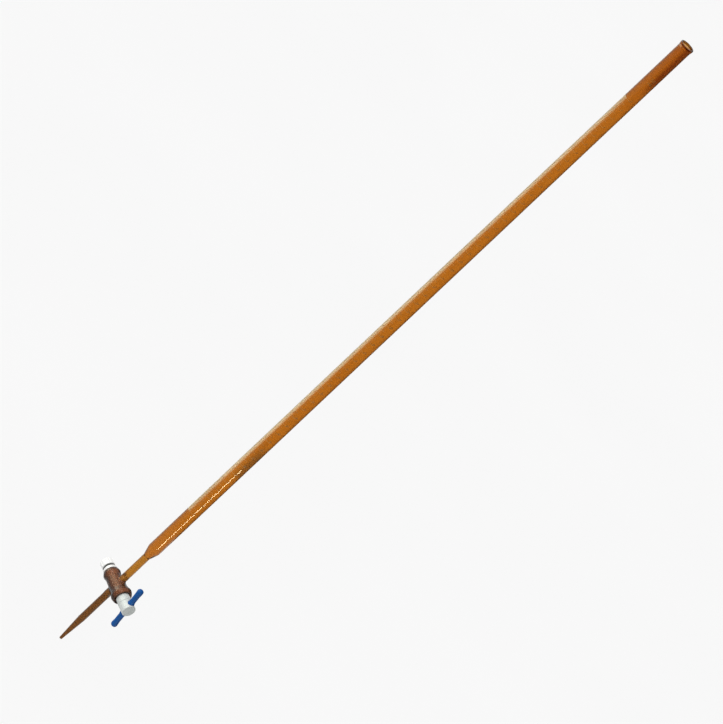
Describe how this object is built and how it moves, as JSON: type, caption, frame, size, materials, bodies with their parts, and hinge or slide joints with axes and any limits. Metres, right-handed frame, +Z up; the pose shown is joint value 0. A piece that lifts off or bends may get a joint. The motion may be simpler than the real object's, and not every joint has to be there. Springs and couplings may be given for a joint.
{
  "type": "burette",
  "caption": "Amber glass burette: graduated tube, stem, tapered stopcock barrel and drawn jet, with a white plastic key, blue cross bar, washer, O-ring and tension nut.",
  "frame": {"origin": "on the tube's axis, at the middle of the clamp's grip on the tube, 500 mm above the tip of the jet", "axes": "+Z up the tube to the mouth, +X along the stopcock key to its handle, -Y out of the front of the scale"},
  "size_m": [0.0622, 0.0194, 0.8119],
  "materials": {
    "amber_glass": "clear amber glass, polished",
    "barrel_glass": "thick dark amber glass, polished outside, ground in the bore",
    "scale_enamel": "fired enamel, satin",
    "key_plastic": "white fluoroplastic, waxy satin",
    "handle_plastic": "blue moulded plastic, semi-gloss",
    "ring_rubber": "black rubber, satin",
    "nut_plastic": "white moulded plastic, satin"
  },
  "bodies": {
    "root": {"graduated_tube": "amber_glass", "graduation_marks": "scale_enamel", "inlet_stem": "amber_glass", "stopcock_barrel": "barrel_glass", "delivery_jet": "amber_glass"},
    "key": {"stopcock_plug": "key_plastic", "handle_bar": "handle_plastic", "thrust_washer": "key_plastic", "o_ring": "ring_rubber"},
    "nut": {"tension_nut": "nut_plastic"}
  },
  "joints": [
    {"name": "key_turn", "type": "hinge", "parent": "root", "child": "key", "pos_m": [0, 0, -0.4233], "axis": [1, 0, 0], "continuous": true},
    {"name": "nut_turn", "type": "hinge", "parent": "key", "child": "nut", "pos_m": [-0.025, 0, -0.4233], "axis": [-1, 0, 0], "range_deg": [0, 360]}
  ]
}
